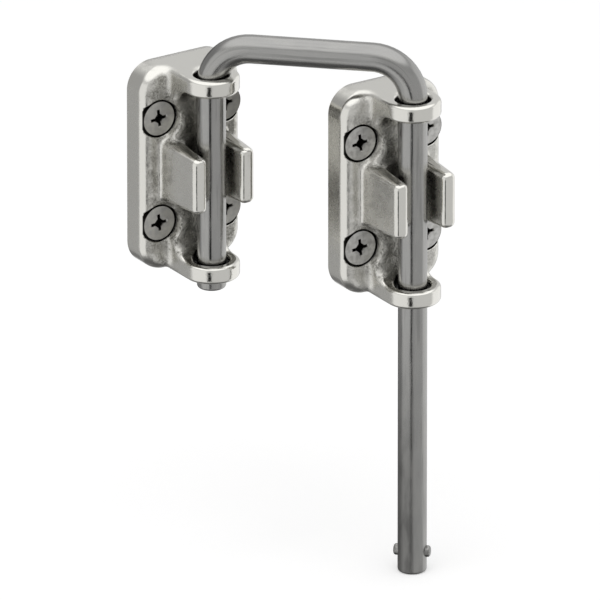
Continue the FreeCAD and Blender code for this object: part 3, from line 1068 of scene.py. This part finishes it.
@dataclass
class Studio:
    """Floor, soft light, surroundings and camera.

    `mark` is a place on the lock, and `mark_x` and `mark_y` are its pixel in the photograph.
    """

    floor_size: float = 9.0
    floor_grey: float = 0.86
    floor_glow: Ramp = Ramp(0.5, 2.5, 0.40, 0.62)
    lamp_size: float = 1.6
    lamp_place: Vector = Vector((-0.25, -0.35, 1.5))
    lamp_watts: float = 9.0
    soft_level: float = 0.50
    base_level: float = 0.58
    white: float = 1.0
    camera_turn: float = -32.53
    camera_rise: float = 22.17
    camera_distance: float = 6.5
    camera_reach: float = 40.0
    metres_a_pixel: float = 0.2703 * MM
    image_side: int = 600
    sensor: float = 36.0
    mark: Vector = Vector((-20 * MM, 10 * MM, -20 * MM))
    mark_x: float = 294.77
    mark_y: float = 250.21

    def panels(self) -> tuple[Panel, ...]:
        """Lists the surroundings.

        Returns:
            The panels, each laid over the ones before.
        """
        return (
            Panel("overhead", middle=0, half_width=180, low=40, high=120, level=1.30, blur=14),
            Panel("left_wall", middle=-88, half_width=40, low=-70, high=30, level=0.90, blur=14),
            Panel("back_left", middle=-148, half_width=26, low=-70, high=30, level=0.40, blur=10),
            Panel("back_dark", middle=176, half_width=14, low=-60, high=12, level=0.20, blur=8),
            Panel("back_right", middle=135, half_width=24, low=-70, high=38, level=0.68, blur=10),
            Panel("right_wall", middle=86, half_width=32, low=-70, high=30, level=1.02, blur=12),
            Panel("front_right", middle=8, half_width=42, low=-70, high=20, level=0.64, blur=10),
            Panel("behind_camera", middle=-42, half_width=8, low=-36, high=-10, level=0.0, blur=3),
            Panel("ground", middle=0, half_width=180, low=-130, high=-52, level=0.14, blur=26),
        )

    def build(self) -> None:
        """Builds the whole studio."""
        self.build_floor()
        self.build_world()
        self.build_lamp()
        self.build_camera()
        bpy.context.scene.view_settings.view_transform = "Standard"
        log.info("studio built")

    def build_floor(self) -> None:
        """A pale floor that touches the lock's lowest point and keeps its shadow."""
        low, _ = cad_box
        half = self.floor_size / 2
        outline = ((-half, -half), (half, -half), (half, half), (-half, half))
        mesh = bpy.data.meshes.new("floor")
        mesh.from_pydata([(x, y, low.z) for x, y in outline], [], [(0, 1, 2, 3)])
        floor = bpy.data.objects.new("floor", mesh)
        bpy.context.scene.collection.objects.link(floor)
        dress(floor, self.floor_paint())
        floor.visible_glossy = False

    def floor_paint(self) -> bpy.types.Material:
        """The floor's matt paint, with a glow that only the camera sees and that grows far away.

        Returns:
            The material.
        """
        material = bpy.data.materials.new("pale_floor")
        graph = Graph(material)
        matte = graph.node("ShaderNodeBsdfDiffuse", grey(self.floor_grey))
        far = graph.step(graph.length(graph.read(Reading.PLACE)), self.floor_glow)
        glow = graph.node("ShaderNodeEmission")
        graph.feed(glow.inputs["Strength"], graph.times(graph.is_ray(Ray.CAMERA), far))
        both = graph.node("ShaderNodeAddShader", matte.outputs[0], glow.outputs[0])
        graph.end(Ending.MATERIAL, both)
        return material

    def build_world(self) -> None:
        """White for the camera, even soft light for matt surfaces, and the panels for the metal."""
        world = bpy.data.worlds.new("studio")
        bpy.context.scene.world = world
        graph = Graph(world)
        x, y, z = graph.parts(graph.read(Reading.WAY))
        turn = graph.sum(Sum.TURN, x, graph.times(y, -1.0))
        rise = graph.sum(Sum.RISE, z)
        seen = self.base_level
        for panel in self.panels():
            seen = graph.blend(self.cover(graph, panel, turn, rise), seen, panel.level)
        level = graph.blend(graph.is_ray(Ray.GLOSSY), self.soft_level, seen)
        level = graph.blend(graph.is_ray(Ray.CAMERA), level, self.white)
        graph.end(Ending.WORLD, graph.node("ShaderNodeBackground", grey(self.white), level))

    def cover(self, graph: Graph, panel: Panel, turn: Socket, rise: Socket) -> Socket:
        """How fully a panel covers a direction.

        Args:
            graph: the world's graph.
            panel: the panel.
            turn: the direction's angle round the object.
            rise: its angle above the horizon.

        Returns:
            The socket with the share, from 0 to 1.
        """
        half_blur = math.radians(panel.blur) / 2
        coming, leaving = Ramp(-half_blur, half_blur), Ramp(half_blur, -half_blur)
        turned = graph.sum(Sum.LESS, turn, math.radians(panel.middle))
        aside = graph.sum(Sum.SIZE, graph.sum(Sum.WRAP, turned, math.pi, -math.pi))
        between = graph.step(aside, leaving.moved(math.radians(panel.half_width)))
        above = graph.step(rise, coming.moved(math.radians(panel.low)))
        below = graph.step(rise, leaving.moved(math.radians(panel.high)))
        return graph.times(between, above, below)

    def build_lamp(self) -> None:
        """One wide soft lamp overhead, aimed at the lock."""
        data = bpy.data.lights.new("overhead_lamp", "AREA")
        data.shape = "DISK"
        data.size = self.lamp_size
        data.energy = self.lamp_watts
        lamp = bpy.data.objects.new("overhead_lamp", data)
        lamp.location = self.lamp_place
        lamp.rotation_euler = (-self.lamp_place).to_track_quat("-Z", "Y").to_euler()
        lamp.visible_glossy = False
        bpy.context.scene.collection.objects.link(lamp)

    def build_camera(self) -> None:
        """The camera of the photograph, with a long lens, which sees the mark at its pixel."""
        turn, rise = math.radians(self.camera_turn), math.radians(self.camera_rise)
        back = Vector((math.sin(turn) * math.cos(rise), -math.cos(turn) * math.cos(rise), math.sin(rise)))
        right = Vector((math.cos(turn), math.sin(turn), 0))
        up = back.cross(right)
        half = self.image_side / 2
        shift = right * (half - self.mark_x) + up * (self.mark_y - half)
        centre = self.mark + shift * self.metres_a_pixel
        data = bpy.data.cameras.new("camera")
        data.sensor_width = self.sensor
        data.lens = self.sensor * self.camera_distance / (self.image_side * self.metres_a_pixel)
        data.clip_end = self.camera_reach
        camera = bpy.data.objects.new("camera", data)
        camera.location = centre + back * self.camera_distance
        camera.rotation_euler = (-back).to_track_quat("-Z", "Y").to_euler()
        bpy.context.scene.collection.objects.link(camera)
        bpy.context.scene.camera = camera


def main() -> None:
    """Builds the lock's pieces and the studio in order."""
    logging.basicConfig(level=logging.INFO, format="%(name)s: %(message)s")
    Bracket(Owner.JAMB).build()
    # Painted shade: the door bracket and its screws get darker copies of the jamb's greys.
    Bracket(Owner.DOOR, dull=grey(0.22, 0.16), deep=grey(0.11, 0.18), head=grey(0.60, 0.08)).build()
    Loop(LoopPlane()).build()
    Studio().build()


if __name__ == "__main__":
    main()
